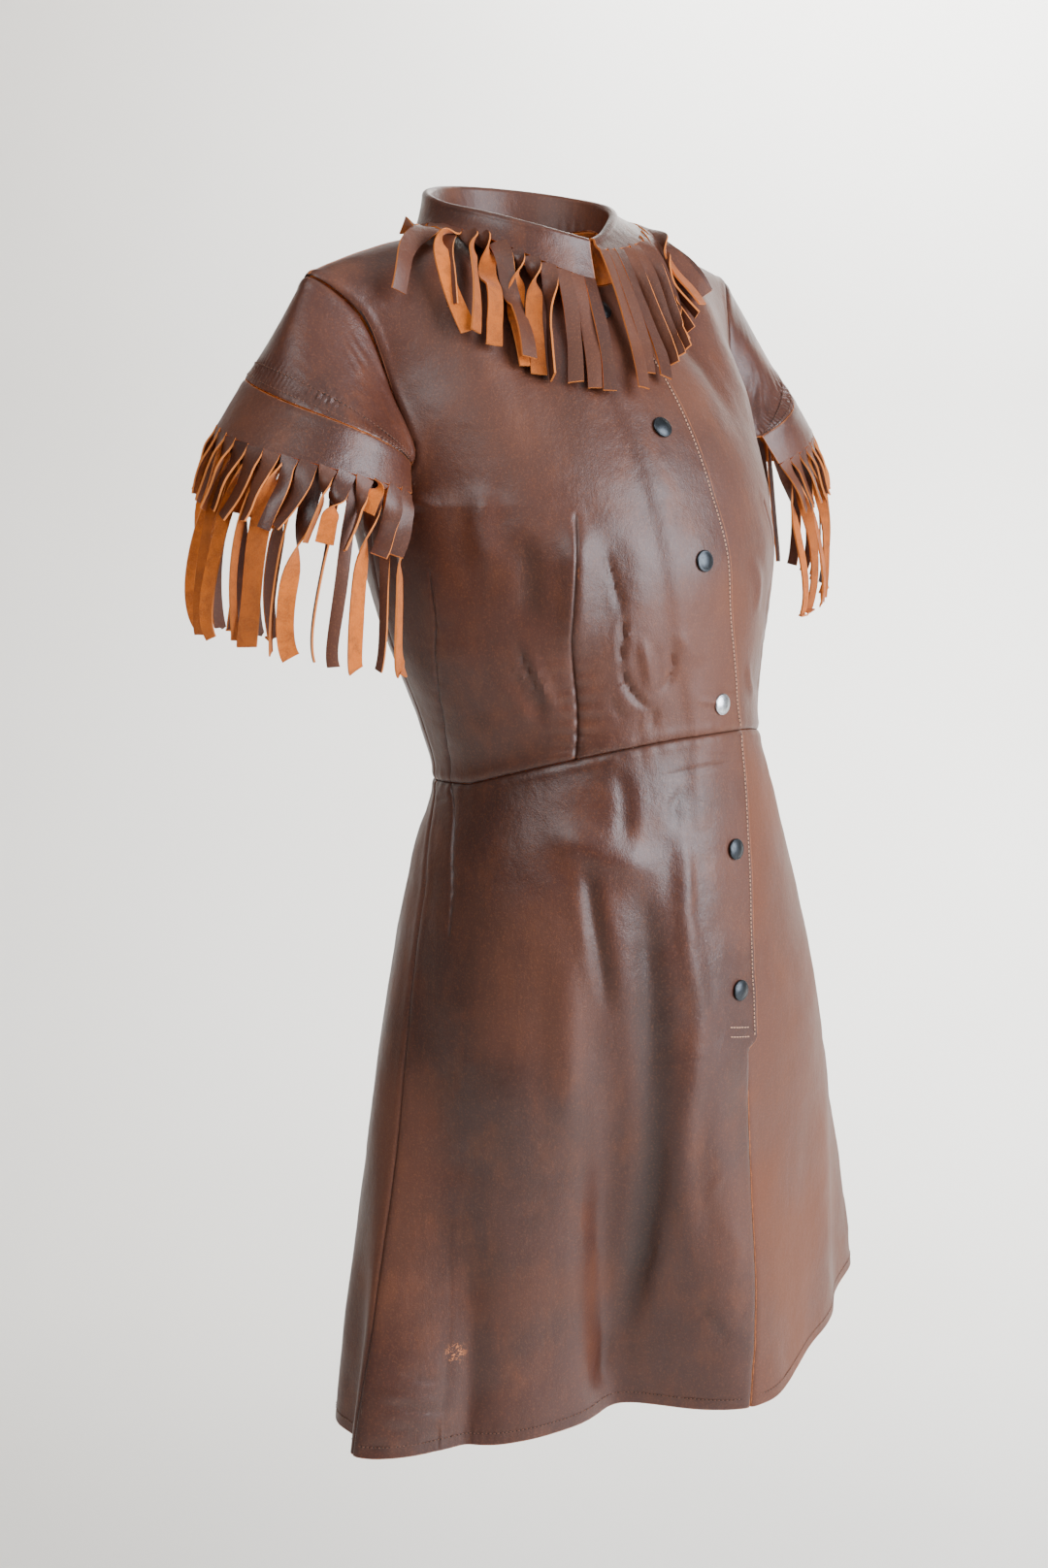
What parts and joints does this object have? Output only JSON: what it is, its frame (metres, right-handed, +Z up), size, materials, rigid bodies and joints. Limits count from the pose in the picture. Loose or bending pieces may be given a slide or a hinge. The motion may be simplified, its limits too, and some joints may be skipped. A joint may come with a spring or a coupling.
{
  "type": "fringed leather dress",
  "caption": "Short-sleeved leather dress in its worn form, with a snap front, an A-line skirt and cut leather fringe on collar and sleeves.",
  "frame": {"origin": "at the shoulders, midway between the two ends of the neckline, where the wearer carries the dress", "axes": "+Z up, the front faces -Y, the wearer's left is +X"},
  "size_m": [0.5813, 0.3183, 0.8956],
  "materials": {
    "leather": "satin, lightly worn",
    "fringe_leather": "satin outside, orange suede at the cut edges and inside",
    "dark_metal": "polished gunmetal",
    "bright_metal": "worn bright",
    "thread": "matt twisted thread"
  },
  "bodies": {
    "root": {"skirt_front_right": "leather", "skirt_front_left": "leather", "bodice_front_right": "leather", "bodice_front_left": "leather", "skirt_back": "leather", "bodice_back": "leather", "collar": "leather", "collar_fringe": "fringe_leather", "sleeve_right_cap": "leather", "sleeve_right_band": "leather", "sleeve_right_fringe_short": "fringe_leather", "sleeve_right_fringe_long": "fringe_leather", "sleeve_left_cap": "leather", "sleeve_left_band": "leather", "sleeve_left_fringe_short": "fringe_leather", "sleeve_left_fringe_long": "fringe_leather", "snap_1": "dark_metal", "snap_2": "dark_metal", "snap_3": "dark_metal", "snap_4": "bright_metal", "snap_5": "dark_metal", "snap_6": "dark_metal"}
  },
  "joints": []
}
